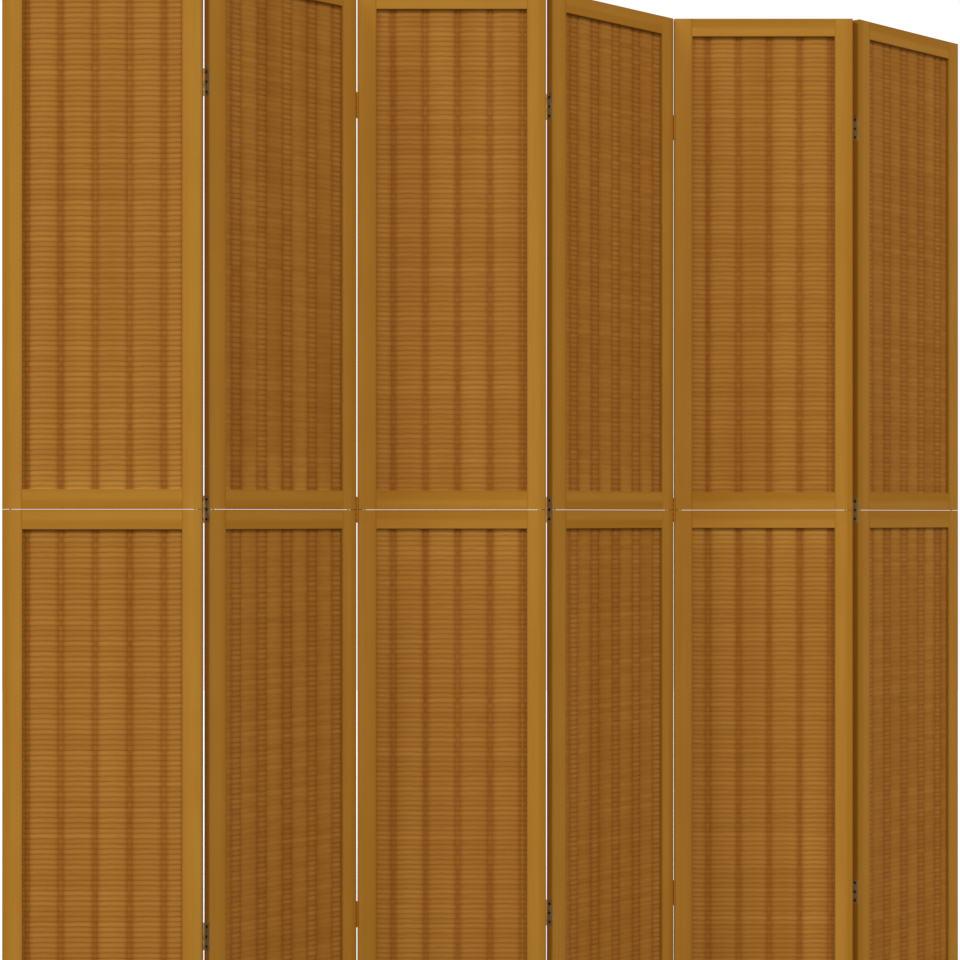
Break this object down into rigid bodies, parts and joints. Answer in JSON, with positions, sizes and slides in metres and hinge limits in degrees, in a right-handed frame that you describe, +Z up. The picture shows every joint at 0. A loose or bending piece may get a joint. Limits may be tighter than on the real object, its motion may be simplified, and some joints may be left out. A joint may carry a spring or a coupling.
{
  "type": "folding screen",
  "caption": "Zigzag folding room screen of hinged panels, each an upper and a lower wooden frame that holds a mat of woven splints.",
  "frame": {"origin": "on the floor, under the middle of the whole screen's box as it stands at rest", "axes": "+X along the odd panels towards the last panel, +Y from the front to the back, +Z up"},
  "size_m": [1.8924, 0.8156, 2],
  "materials": {
    "frame_wood": "honey brown stain, satin",
    "woven_mat": "stained bamboo splints, satin",
    "hinge_metal": "antique brass, dull",
    "screw_metal": "dark bronze",
    "pin_steel": "plain"
  },
  "bodies": {
    "panel_1": {"panel_1_upper_stiles": "frame_wood", "panel_1_upper_rails": "frame_wood", "panel_1_upper_weave": "woven_mat", "panel_1_lower_stiles": "frame_wood", "panel_1_lower_rails": "frame_wood", "panel_1_lower_weave": "woven_mat", "panel_1_joining_pins": "pin_steel", "panel_1_hinge_leaves": "hinge_metal", "panel_1_hinge_screws": "screw_metal"},
    "panel_2": {"panel_2_upper_stiles": "frame_wood", "panel_2_upper_rails": "frame_wood", "panel_2_upper_weave": "woven_mat", "panel_2_lower_stiles": "frame_wood", "panel_2_lower_rails": "frame_wood", "panel_2_lower_weave": "woven_mat", "panel_2_joining_pins": "pin_steel", "panel_2_hinge_leaves": "hinge_metal", "panel_2_hinge_screws": "screw_metal", "panel_2_hinge_pins": "pin_steel"},
    "panel_3": {"panel_3_upper_stiles": "frame_wood", "panel_3_upper_rails": "frame_wood", "panel_3_upper_weave": "woven_mat", "panel_3_lower_stiles": "frame_wood", "panel_3_lower_rails": "frame_wood", "panel_3_lower_weave": "woven_mat", "panel_3_joining_pins": "pin_steel", "panel_3_hinge_leaves": "hinge_metal", "panel_3_hinge_screws": "screw_metal"},
    "panel_4": {"panel_4_upper_stiles": "frame_wood", "panel_4_upper_rails": "frame_wood", "panel_4_upper_weave": "woven_mat", "panel_4_lower_stiles": "frame_wood", "panel_4_lower_rails": "frame_wood", "panel_4_lower_weave": "woven_mat", "panel_4_joining_pins": "pin_steel", "panel_4_hinge_leaves": "hinge_metal", "panel_4_hinge_screws": "screw_metal", "panel_4_hinge_pins": "pin_steel"},
    "panel_5": {"panel_5_upper_stiles": "frame_wood", "panel_5_upper_rails": "frame_wood", "panel_5_upper_weave": "woven_mat", "panel_5_lower_stiles": "frame_wood", "panel_5_lower_rails": "frame_wood", "panel_5_lower_weave": "woven_mat", "panel_5_joining_pins": "pin_steel", "panel_5_hinge_leaves": "hinge_metal", "panel_5_hinge_screws": "screw_metal"},
    "panel_6": {"panel_6_upper_stiles": "frame_wood", "panel_6_upper_rails": "frame_wood", "panel_6_upper_weave": "woven_mat", "panel_6_lower_stiles": "frame_wood", "panel_6_lower_rails": "frame_wood", "panel_6_lower_weave": "woven_mat", "panel_6_joining_pins": "pin_steel", "panel_6_hinge_leaves": "hinge_metal", "panel_6_hinge_screws": "screw_metal", "panel_6_hinge_pins": "pin_steel"}
  },
  "joints": [
    {"name": "fold_1_2", "type": "hinge", "parent": "panel_1", "child": "panel_2", "pos_m": [-0.58248, -0.38906, 1], "axis": [0, 0, 1], "range_deg": [-46, 134]},
    {"name": "fold_2_3", "type": "hinge", "parent": "panel_2", "child": "panel_3", "pos_m": [-0.31539, -0.14041, 1], "axis": [0, 0, -1], "range_deg": [-46, 134]},
    {"name": "fold_3_4", "type": "hinge", "parent": "panel_3", "child": "panel_4", "pos_m": [0.04901, -0.12101, 1], "axis": [0, 0, 1], "range_deg": [-46, 134]},
    {"name": "fold_4_5", "type": "hinge", "parent": "panel_4", "child": "panel_5", "pos_m": [0.3161, 0.12764, 1], "axis": [0, 0, -1], "range_deg": [-46, 134]},
    {"name": "fold_5_6", "type": "hinge", "parent": "panel_5", "child": "panel_6", "pos_m": [0.6805, 0.14704, 1], "axis": [0, 0, 1], "range_deg": [-46, 134]}
  ]
}
